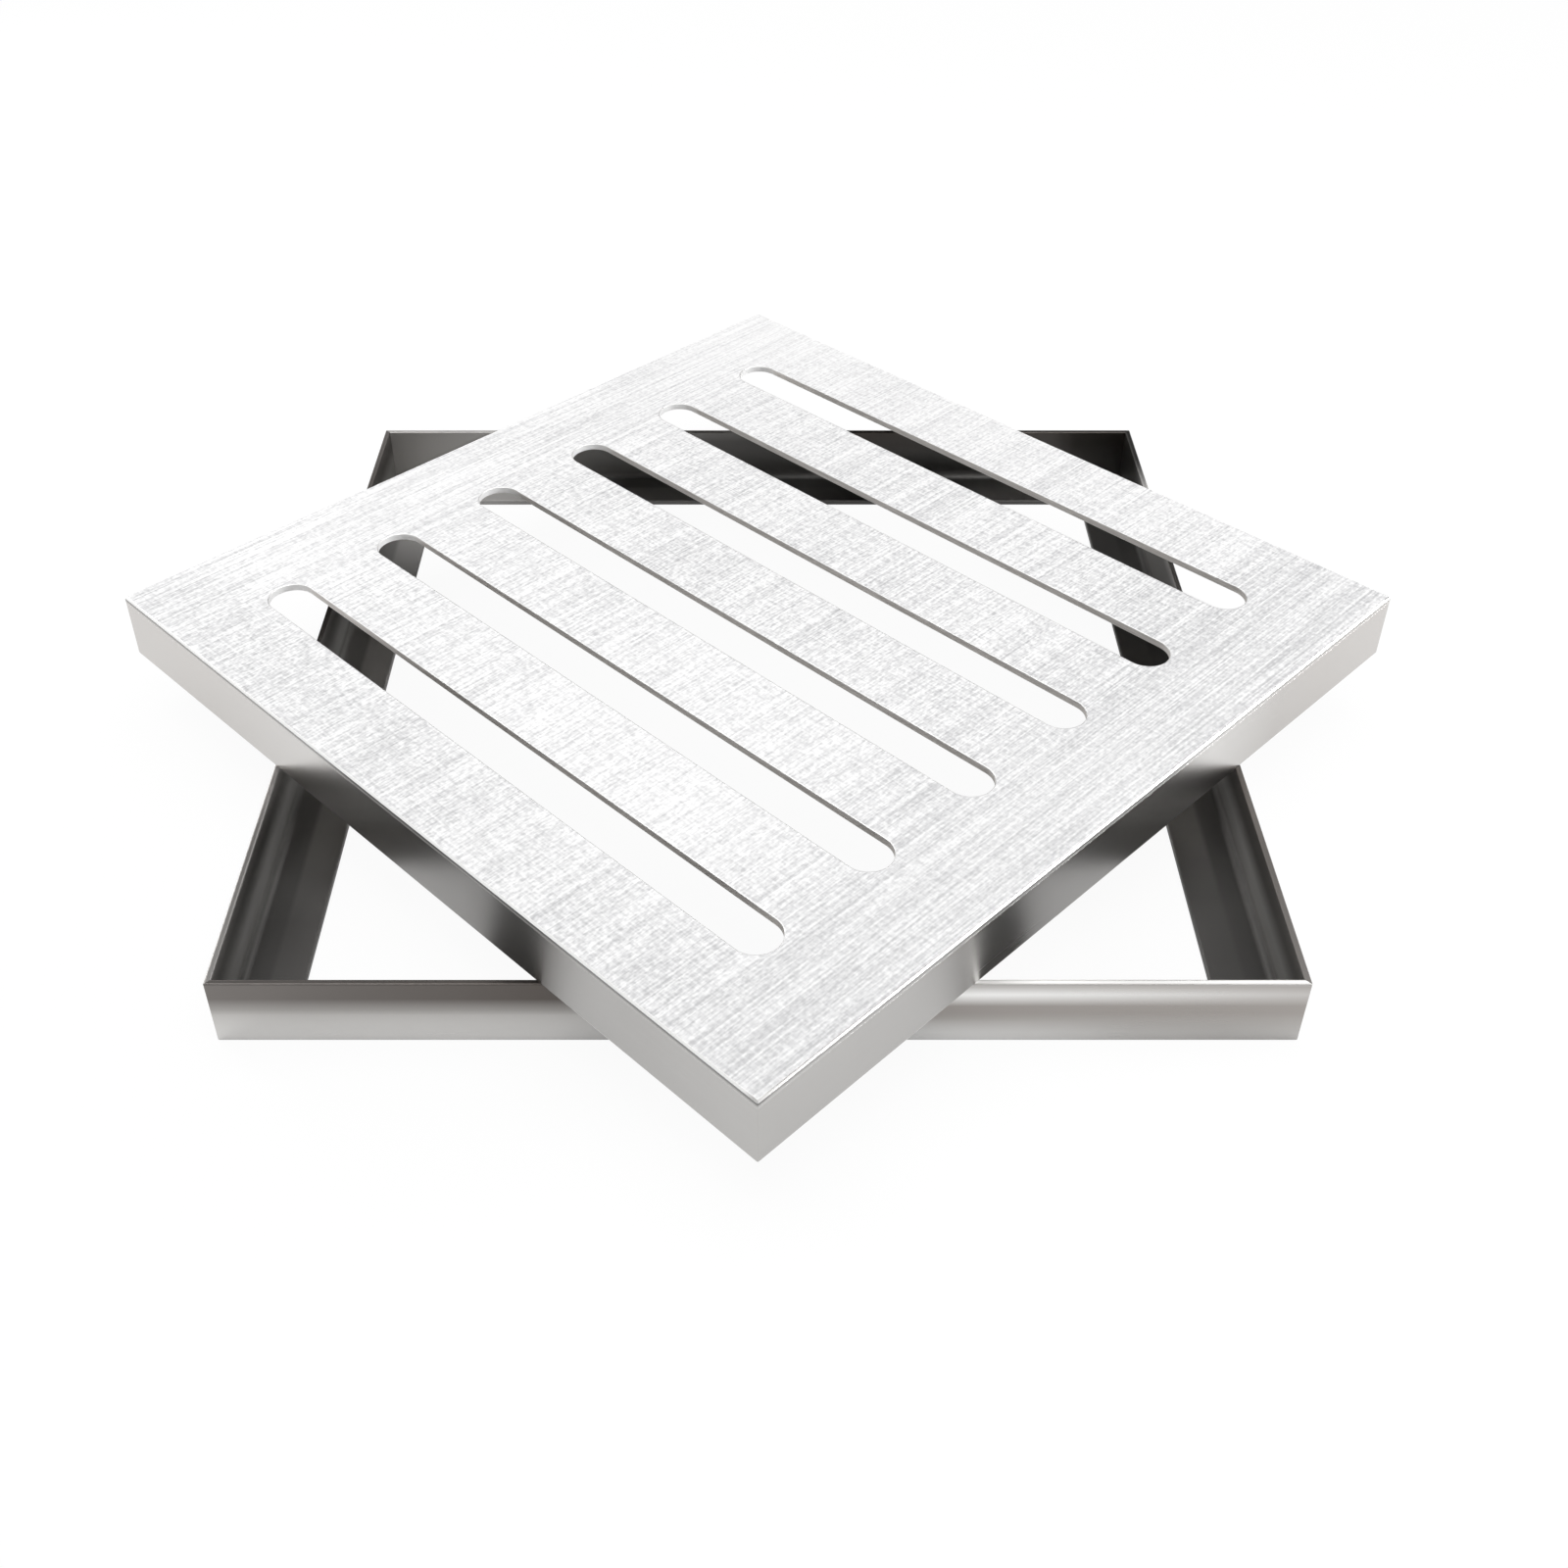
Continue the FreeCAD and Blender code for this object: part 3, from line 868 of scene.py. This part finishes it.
class GrateLook(bpy.types.PropertyGroup):
    """Colours of the bare metal, and of the painted light and shade on it."""

    plate_light: FloatVectorProperty(
        name="Plate", description="Brushed face", default=(0.92, 0.92, 0.92), subtype="COLOR"
    )
    # drag marks, and the painted shade along the plate's right and front edges
    plate_drag_and_shade: FloatVectorProperty(
        name="Drag marks",
        description="Short dark marks in the brushing",
        default=(0.55, 0.55, 0.56),
        subtype="COLOR",
    )
    # rolled underside darkened by painted shade; also the painted shade of the right chamfer
    plate_rolled_and_shade: FloatVectorProperty(
        name="Underside",
        description="Plate's underside, left as rolled",
        default=(0.36, 0.35, 0.34),
        subtype="COLOR",
    )
    # painted shade: the ledges' dark colour
    ledge: FloatVectorProperty(
        name="Ledge",
        description="Darker metal of the ledges",
        default=(0.155, 0.15, 0.145),
        subtype="COLOR",
    )
    # painted shade: in the roots, on the ledges, under the plate's chamfer and on the back rail
    root: FloatVectorProperty(
        name="Root",
        description="Dark metal in the corner between ledge and wall",
        default=(0.10, 0.098, 0.095),
        subtype="COLOR",
    )
    edge_dark: FloatVectorProperty(
        name="Cut edge, dark",
        description="Darker streaks of the cut edges",
        default=(0.72, 0.69, 0.66),
        subtype="COLOR",
    )
    edge_light: FloatVectorProperty(
        name="Cut edge, light",
        description="Lighter streaks of the cut edges",
        default=(0.88, 0.85, 0.82),
        subtype="COLOR",
    )
    # polished edges, and also the painted sheen, glint and rim highlights on the angles
    rubbed_and_highlight: FloatVectorProperty(
        name="Rubbed edge",
        description="Metal polished along the edges",
        default=(0.95, 0.95, 0.94),
        subtype="COLOR",
    )
    skirt: FloatVectorProperty(
        name="Skirt",
        description="Strips of the cover",
        default=(0.495, 0.486, 0.475),
        subtype="COLOR",
    )
    skirt_dark: FloatVectorProperty(
        name="Skirt, dark",
        description="Darker smears of the strips",
        default=(0.45, 0.441, 0.43),
        subtype="COLOR",
    )
    # painted light on the strips
    skirt_painted_light: FloatVectorProperty(
        name="Skirt, light",
        description="Lighter stretches of the strips",
        default=(0.66, 0.65, 0.635),
        subtype="COLOR",
    )
    skirt_warm: FloatVectorProperty(
        name="Skirt, warm",
        description="Warmer ends of the strips",
        default=(0.58, 0.54, 0.51),
        subtype="COLOR",
    )
    rail: FloatVectorProperty(
        name="Rail",
        description="Angles of the frame",
        default=(0.48, 0.467, 0.452),
        subtype="COLOR",
    )
    # darker smears, and the painted light on the ledges near the crossings
    rail_smear_and_ledge_light: FloatVectorProperty(
        name="Rail, dark",
        description="Darker smears of the angles",
        default=(0.42, 0.408, 0.394),
        subtype="COLOR",
    )
    # painted light: the foot band, the fold, the back corner and the lit ledge
    rail_painted_light: FloatVectorProperty(
        name="Rail foot",
        description="Lighter band along the foot of the angles",
        default=(0.74, 0.73, 0.715),
        subtype="COLOR",
    )
    # painted reflection: brown band below the angles' rim
    rail_brown_reflection: FloatVectorProperty(
        name="Rail, brown",
        description="Brown band below the rim of the angles",
        default=(0.10, 0.087, 0.079),
        subtype="COLOR",
    )
    # painted reflection: darker middle band of the angles
    rail_belly_reflection: FloatVectorProperty(
        name="Rail belly",
        description="Middle band of the angles",
        default=(0.315, 0.29, 0.272),
        subtype="COLOR",
    )
    bead_grey: FloatVectorProperty(
        name="Bead", description="Weld metal", default=(0.42, 0.42, 0.43), subtype="COLOR"
    )
    bead_straw: FloatVectorProperty(
        name="Bead, straw", description="Heat colour", default=(0.52, 0.44, 0.31), subtype="COLOR"
    )


class GrateStage(bpy.types.PropertyGroup):
    """Camera, floor and light."""

    distance: FloatProperty(
        name="Distance",
        description="From the camera to the middle of the grate",
        default=0.8087,
        subtype="DISTANCE",
        unit="LENGTH",
    )
    elevation: FloatProperty(
        name="Elevation",
        description="Camera above the horizon",
        default=math.radians(37.81),
        subtype="ANGLE",
    )
    azimuth: FloatProperty(
        name="Azimuth",
        description="Camera round the grate, from the front towards +X",
        default=math.radians(45),
        subtype="ANGLE",
    )
    aim_height: FloatProperty(
        name="Aim height",
        description="Height of the point that the camera looks at",
        default=0.0109,
        subtype="DISTANCE",
        unit="LENGTH",
    )
    lens: FloatProperty(
        name="Lens",
        description="Focal length in millimetres",
        default=40.74,
        subtype="DISTANCE_CAMERA",
    )
    shift: FloatVectorProperty(
        name="Shift", description="Shift of the picture", default=(0.01675, -0.0625), size=2
    )
    sky: FloatProperty(
        name="Sky", description="Strength of the light from all round", default=0.5
    )
    key_power: FloatProperty(
        name="Key", description="Power of the soft light on the right", default=11.0, unit="POWER"
    )
    fill_power: FloatProperty(
        name="Fill", description="Power of the soft light on the left", default=5.5, unit="POWER"
    )
    overhead_power: FloatProperty(
        name="Overhead",
        description="Power of the soft light overhead",
        default=29.3,
        unit="POWER",
    )
    flag_radius: FloatProperty(
        name="Flag distance",
        description="From the grate to the dark flags round it",
        default=2.6,
        subtype="DISTANCE",
        unit="LENGTH",
    )
    flag_height: FloatProperty(
        name="Flag height",
        description="Height of the dark flags",
        default=4.6,
        subtype="DISTANCE",
        unit="LENGTH",
    )
    flag_colour: FloatVectorProperty(
        name="Flags",
        description="Tone of the dark flags",
        default=(0.06, 0.058, 0.057),
        subtype="COLOR",
    )
    floor_colour: FloatVectorProperty(
        name="Floor",
        description="Colour of the floor",
        default=(0.82, 0.82, 0.82),
        subtype="COLOR",
    )
    # painted shade: the floor inside the frame as the metal mirrors it
    recess_painted_shade: FloatVectorProperty(
        name="Recess",
        description="Tone of the floor inside the frame as the metal mirrors it",
        default=(0.36, 0.36, 0.36),
        subtype="COLOR",
    )
    floor_seen_white: FloatProperty(
        name="White floor, seen",
        description="Share of plain white in the floor as the camera sees it",
        default=0.94,
        subtype="FACTOR",
    )
    floor_mirrored_white: FloatProperty(
        name="White floor, mirrored",
        description="Share of plain white in the mirrored floor outside the frame",
        default=0.5,
        subtype="FACTOR",
    )


# Pieces

def rim_run(cover, shape):
    """Section of the plate's rim from underside to top, as (depth, height), and its marks."""
    chamfer = cover.edge_break
    inset = chamfer + shape.break_round + shape.shoulder
    corners = [
        (inset, cover.bottom),
        (0, cover.bottom),
        (0, cover.top - chamfer),
        (chamfer, cover.top),
        (inset, cover.top),
    ]
    radii = [shape.plate_round, shape.break_round, shape.break_round]
    run, _ = rounded_run(corners, radii, shape.shoulder, shape.round_steps)
    depth, height = run.T
    below = height < cover.top - chamfer - shape.break_round / 2
    mill = height <= cover.bottom
    bevel = ~below & (depth < chamfer + shape.break_round / 2)
    return run, {"outer": below & ~mill, "worn": bevel, "mill": mill}


def hole_run(cover, shape):
    """Section of a slot's wall from underside to top, as (outset, height), and its marks."""
    inset = cover.slot_break + shape.shoulder
    corners = [(inset, cover.bottom), (0, cover.bottom), (0, cover.top), (inset, cover.top)]
    radii = [shape.plate_round, cover.slot_break]
    run, worn = rounded_run(corners, radii, shape.shoulder, shape.round_steps)
    height = run[:, 1]
    mill = height <= cover.bottom
    wall = ~mill & (height < cover.top - cover.slot_break / 2)
    return run, {"cut": wall, "worn": SLOT_EDGE_WEAR * worn, "mill": mill}


def plate_patches(cover, shape):
    """Rim of the plate, walls of the slots, and both faces as cells round the slots."""
    patches = Patches()
    rim, rim_marks = rim_run(cover, shape)
    hole, hole_marks = hole_run(cover, shape)
    edge = cover.half - rim[0, 0]
    station = slot_loop(SLOT_STRAIGHT_STEPS, shape.slot_steps)
    middles = cover.slot_middles
    borders = np.concatenate([[-edge], (middles[1:] + middles[:-1]) / 2, [edge]])
    cell_x, cell_y = cell_outline(cover, station, edge, 0, 1)
    across = np.unique(np.round(cell_x[cell_y == 0], POINT_DIGITS)) / edge
    share = np.unique(cell_y[cell_x == edge])
    steps = borders[:-1, None] + share * np.diff(borders)[:, None]
    down = np.unique(np.round(steps, POINT_DIGITS)) / edge
    for quarter in range(len(SIDES)):
        along = across if quarter % 2 == 0 else down
        turn = quarter * QUARTER_TURN
        points, u = side_of_square(
            rim, cover.half, shape.corner_round, along, shape.round_steps, turn
        )
        patches.add_grid(points, u, run_length(rim), **rim_marks)
    for middle, low, high in zip(middles, borders[:-1], borders[1:]):
        x, y = slot_outline(cover, station, hole[:, 0])
        z = np.broadcast_to(hole[:, 1], x.shape)
        points = np.stack([x, y + middle, z], axis=-1)
        turn = station[:, None]
        patches.add_grid(points, turn, run_length(hole), flip=True, **hole_marks)
        cell_x, cell_y = cell_outline(cover, station, edge, low, high)
        for column, height, under in ((0, cover.bottom, True), (-1, cover.top, False)):
            inner = points[:, column]
            outer = np.stack([cell_x, cell_y, np.full_like(cell_x, height)], axis=-1)
            face = np.stack([inner, outer], axis=1)
            patches.add_grid(face, face[..., 0], face[..., 1], flip=not under, mill=under)
    return patches


def bar_patches(corners, radii, half, shape, turn, root=False):
    """Closed section with mitred ends, carried along one side of a square.

    The section's run starts and ends in the middle of the edge between its last corner and
    its first. With root, the last corner is an inside one and is marked as the root.
    """
    patches = Patches()
    corners = np.asarray(corners, float)
    start = (corners[0] + corners[-1]) / 2
    loop = np.concatenate([[start], corners, [start]])
    run, worn = rounded_run(loop, radii, shape.shoulder, shape.round_steps)
    along = np.linspace(-1, 1, BAR_STATIONS)
    points, u = side_of_square(run, half, shape.corner_round, along, shape.round_steps, turn)
    mill = np.zeros(len(run))
    if root:
        root_points = shape.round_steps + 2  # the last round and its two shoulders
        mill[-1 - root_points:-1] = 1
        worn = worn * (1 - mill)
    outer = run[:, 0] < WELD_REACH
    patches.add_bar(points, u, run_length(run), run, worn=worn, mill=mill, outer=outer)
    return patches


def bead_points(cover, shape, middle, turn):
    """One weld bead in the corner between the plate's underside and a skirt.

    A point at length s and angle t is the corner plus radius * (cos t, -sin t) in depth and
    height. The radius swells by a ripple, 1 + share * cos(2 pi s / pitch), and is rounded
    off at both ends by the fourth root of 1 - (s / half the length) squared. The section
    closes through a point that lies inside the metal of the corner.
    """
    reach = shape.bead_length / 2
    s = np.linspace(-reach, reach, shape.bead_steps)[:, None]
    t = np.linspace(0, QUARTER_TURN, shape.round_steps + 2)
    ripple = 1 + shape.bead_ripple * np.cos(2 * math.pi * s / shape.bead_pitch)
    taper = np.maximum(1 - (s / reach) ** 2, BEAD_END_LEAST) ** 0.25
    radius = shape.bead_leg * ripple * taper
    depth = cover.skirt_thickness + radius * np.cos(t)
    height = cover.bottom - radius * np.sin(t)
    buried = np.full_like(s, shape.bead_leg * BEAD_BURIED)
    depth = np.concatenate([depth, cover.skirt_thickness - buried, depth[:, :1]], axis=1)
    height = np.concatenate([height, cover.bottom + buried, height[:, :1]], axis=1)
    x = np.broadcast_to(s + middle, depth.shape)
    y = depth - cover.half
    return turned(x, y, height, turn), s


class GrateOperator:
    """What the operators share."""

    bl_options = {"REGISTER", "UNDO"}


class GRATE_OT_cover_plate(GrateOperator, bpy.types.Operator):
    """Builds the slotted plate with its brushed face and cut edges"""

    bl_idname = "grate.cover_plate"
    bl_label = "Cover plate"

    def execute(self, context):
        scene = context.scene
        patches = plate_patches(CoverSizes(), scene.grate_shape)
        patches.make_piece(
            "slotted_plate", plate_finish(scene.grate_look), "brushed_plate", "cover_plate"
        )
        return {"FINISHED"}


class GRATE_OT_cover_skirts(GrateOperator, bpy.types.Operator):
    """Builds the four strips under the plate's edges"""

    bl_idname = "grate.cover_skirts"
    bl_label = "Cover skirts"

    def execute(self, context):
        shape, look = context.scene.grate_shape, context.scene.grate_look
        cover = CoverSizes()
        finish = skirt_finish(look)
        depth = cover.skirt_thickness
        corners = [
            (depth, cover.skirt_bottom),
            (0, cover.skirt_bottom),
            (0, cover.bottom),
            (depth, cover.bottom),
        ]
        radii = [shape.bar_round, shape.bar_round, shape.plate_round, shape.plate_round]
        for number, side in enumerate(SIDES):
            turn = number * QUARTER_TURN
            patches = bar_patches(corners, radii, cover.half, shape, turn)
            patches.make_piece(f"skirt_{side}", finish, "skirt_strip", f"cover_skirt_{side}")
        return {"FINISHED"}


class GRATE_OT_weld_beads(GrateOperator, bpy.types.Operator):
    """Builds the short weld beads that hold the skirts under the plate"""

    bl_idname = "grate.weld_beads"
    bl_label = "Weld beads"

    def execute(self, context):
        shape, look = context.scene.grate_shape, context.scene.grate_look
        cover = CoverSizes()
        patches = Patches()
        last = cover.half - shape.bead_margin
        for number in range(len(SIDES)):
            turn = number * QUARTER_TURN
            for middle in np.linspace(-last, last, shape.bead_count):
                points, s = bead_points(cover, shape, middle, turn)
                around = np.arange(points.shape[1])
                patches.add_bar(points, s, around, np.stack([around, around], axis=-1))
        patches.make_piece("weld_beads", bead_finish(look), "skirt_strip")
        return {"FINISHED"}


class GRATE_OT_frame_rails(GrateOperator, bpy.types.Operator):
    """Builds the four mitred lengths of angle"""

    bl_idname = "grate.frame_rails"
    bl_label = "Frame rails"

    def execute(self, context):
        shape, look = context.scene.grate_shape, context.scene.grate_look
        rail = RailSizes(shape.frame_turn)
        finish = angle_finish(look, rail.height)
        corners = [
            (rail.ledge, rail.thickness),
            (rail.ledge, 0),
            (0, 0),
            (0, rail.height),
            (rail.wall, rail.height),
            (rail.wall, rail.thickness),
        ]
        edge = shape.bar_round
        radii = [edge, edge, edge, edge, edge, rail.root_radius]
        for number, side in enumerate(SIDES):
            turn = shape.frame_turn + number * QUARTER_TURN
            patches = bar_patches(corners, radii, rail.half, shape, turn, root=True)
            patches.make_piece(f"angle_{side}", finish, "frame_angle", f"frame_rail_{side}")
        return {"FINISHED"}


# Stage, with lengths in metres

SEEN_RAYS = ("Is Camera Ray", "Is Glossy Ray", "Is Transmission Ray")
FIRST_BOUNCE = 1.5  # a ray under this glossy depth was mirrored once at most
FLOOR_REACH = 6.0
RECESS_EDGE = (0.19, 0.21)  # span across the frame's walls
FLAG_CARDS = 64
CLIP_NEAR, CLIP_FAR = 0.01, 50
LAMPS = {  # width and height, then place
    "overhead": ((2.2, 2.2), (0.0, 0.0, 1.8)),
    "key": ((1.0, 0.2), (0.948, 0.795, 0.400)),
    "fill": ((0.6, 0.6), (-1.1, -0.30, 0.45)),
}


class GRATE_OT_stage(GrateOperator, bpy.types.Operator):
    """Builds the floor, the light and the camera"""

    bl_idname = "grate.stage"
    bl_label = "Stage"

    def execute(self, context):
        scene = context.scene
        stage = scene.grate_stage
        scene.view_settings.view_transform = "Standard"
        self.add_floor(scene, stage)
        self.add_surround(stage)
        self.add_light(scene, stage)
        self.add_camera(scene, stage)
        return {"FINISHED"}

    def add_floor(self, scene, stage):
        """Flat square under the grate: its own colour, whitened where it is seen.

        The metal mirrors the floor inside the frame darker, as a painted shade, and the white
        share only once.
        """
        ends = (-FLOOR_REACH, FLOOR_REACH)
        x, y = np.meshgrid(ends, ends)
        corners = np.stack([x, y, np.zeros_like(x)], axis=-1).reshape(-1, 3)
        mesh = bpy.data.meshes.new("floor")
        mesh.from_pydata(corners, [], [(0, 1, 3, 2)])
        finish = Finish(bpy.data.materials.new("pale_floor"))
        camera, mirror, through, depth = finish.rays(*SEEN_RAYS, "Glossy Depth")
        first = depth.maths("LESS_THAN", depth, FIRST_BOUNCE)
        turning = {"Vector": finish.place(), "Rotation": (0, 0, scene.grate_shape.frame_turn)}
        aligned = finish.node("ShaderNodeMapping", None, turning)
        x, y = (finish.part(aligned, axis) for axis in "XY")
        side = x.maths("MAXIMUM", x.maths("ABSOLUTE", x), y.maths("ABSOLUTE", y))
        outside = side.ramp(*RECESS_EDGE)
        white = camera * stage.floor_seen_white
        white = white + (mirror * first + through) * stage.floor_mirrored_white
        # painted shade: the mirrored floor inside the frame takes the recess tone
        bright = finish.mix((outside + camera).clipped(), stage.recess_painted_shade, WHITE)
        matt = finish.node("ShaderNodeBsdfDiffuse", None, {"Color": opaque(stage.floor_colour)})
        plain = finish.node("ShaderNodeEmission", None, {"Color": bright})
        shader = finish.node("ShaderNodeMixShader", None, {0: white.clipped(), 1: matt, 2: plain})
        finish.surface(shader)
        floor = set_in_scene("floor", mesh, finish.owner)

    def add_surround(self, stage):
        """Dark flags all round, which only the metal mirrors: a ring of upright cards.

        A card's point at angle a and height h is (radius cos a, radius sin a, h).
        """
        stations = np.linspace(0, 4 * QUARTER_TURN, FLAG_CARDS + 1)
        angle, height = np.meshgrid(stations, (0, stage.flag_height), indexing="ij")
        ring = [stage.flag_radius * np.cos(angle), stage.flag_radius * np.sin(angle), height]
        corners = np.stack(ring, axis=-1).reshape(-1, 3)
        index = np.arange(angle.size).reshape(angle.shape)
        cards = np.stack([index[1:, 0], index[:-1, 0], index[:-1, 1], index[1:, 1]], axis=-1)
        mesh = bpy.data.meshes.new("dark_flags")
        mesh.from_pydata(corners, [], cards.tolist())
        finish = Finish(bpy.data.materials.new("dark_cloth"))
        cloth = finish.node("ShaderNodeEmission", None, {"Color": opaque(stage.flag_colour)})
        finish.surface(cloth)
        flags = set_in_scene("dark_flags", mesh, finish.owner)
        flags.visible_camera = flags.visible_diffuse = flags.visible_shadow = False

    def add_light(self, scene, stage):
        """Even light from all round, white where it is seen, and soft lamps.

        One lamp hangs overhead, the key stands on the right, and the fill on the left.
        """
        scene.world = bpy.data.worlds.new("studio")
        finish = Finish(scene.world)
        camera, mirror, through = finish.rays(*SEEN_RAYS)
        seen = (camera + mirror + through).clipped()
        strength = stage.sky + seen * (1 - stage.sky)
        values = {"Color": opaque(WHITE), "Strength": strength}
        sky = finish.node("ShaderNodeBackground", None, values)
        finish.node("ShaderNodeOutputWorld", None, {"Surface": sky})
        for name, (size, place) in LAMPS.items():
            self.add_lamp(scene, name, getattr(stage, f"{name}_power"), size, place)

    def add_lamp(self, scene, name, power, size, place):
        """Soft oval lamp, of a width and a height, that faces the grate."""
        lamp = bpy.data.lights.new(name, "AREA")
        lamp.shape, lamp.energy = "ELLIPSE", power
        lamp.size, lamp.size_y = size
        holder = bpy.data.objects.new(name, lamp)
        holder.location = place
        holder.rotation_euler = (-holder.location).to_track_quat("-Z", "Y").to_euler()
        scene.collection.objects.link(holder)

    def add_camera(self, scene, stage):
        """Camera on a sphere round the point that it looks at."""
        view = bpy.data.cameras.new("camera")
        view.lens = stage.lens
        view.shift_x, view.shift_y = stage.shift
        view.clip_start, view.clip_end = CLIP_NEAR, CLIP_FAR
        level = math.cos(stage.elevation)
        back = Vector((
            math.sin(stage.azimuth) * level,
            -math.cos(stage.azimuth) * level,
            math.sin(stage.elevation),
        ))
        holder = bpy.data.objects.new("camera", view)
        holder.location = Vector((0, 0, stage.aim_height)) + stage.distance * back
        holder.rotation_euler = (-back).to_track_quat("-Z", "Y").to_euler()
        scene.collection.objects.link(holder)
        scene.camera = holder


class GRATE_PT_sidebar(bpy.types.Panel):
    """Lists the operators and the settings"""

    bl_label = "Square drain grate"
    bl_idname = "GRATE_PT_sidebar"
    bl_space_type = "VIEW_3D"
    bl_region_type = "UI"
    bl_category = "Grate"

    def draw(self, context):
        for operator in OPERATORS:
            self.layout.operator(operator.bl_idname)
        for name in SETTINGS:
            box = self.layout.box()
            settings = getattr(context.scene, name)
            for key in settings.__annotations__:
                box.prop(settings, key)


OPERATORS = (
    GRATE_OT_cover_plate,
    GRATE_OT_cover_skirts,
    GRATE_OT_weld_beads,
    GRATE_OT_frame_rails,
    GRATE_OT_stage,
)
SETTINGS = {"grate_shape": GrateShape, "grate_look": GrateLook, "grate_stage": GrateStage}


def register():
    """Registers the classes, and hangs the settings on the scene."""
    for kind in (*SETTINGS.values(), *OPERATORS, GRATE_PT_sidebar):
        bpy.utils.register_class(kind)
    for name, kind in SETTINGS.items():
        setattr(bpy.types.Scene, name, PointerProperty(type=kind))


def unregister():
    """Takes back what register did."""
    for name in SETTINGS:
        delattr(bpy.types.Scene, name)
    for kind in reversed((*SETTINGS.values(), *OPERATORS, GRATE_PT_sidebar)):
        bpy.utils.unregister_class(kind)


def main():
    """Builds the grate and its stage."""
    register()
    bpy.ops.grate.cover_plate()
    bpy.ops.grate.cover_skirts()
    bpy.ops.grate.weld_beads()
    bpy.ops.grate.frame_rails()
    bpy.ops.grate.stage()


if __name__ == "__main__":
    main()
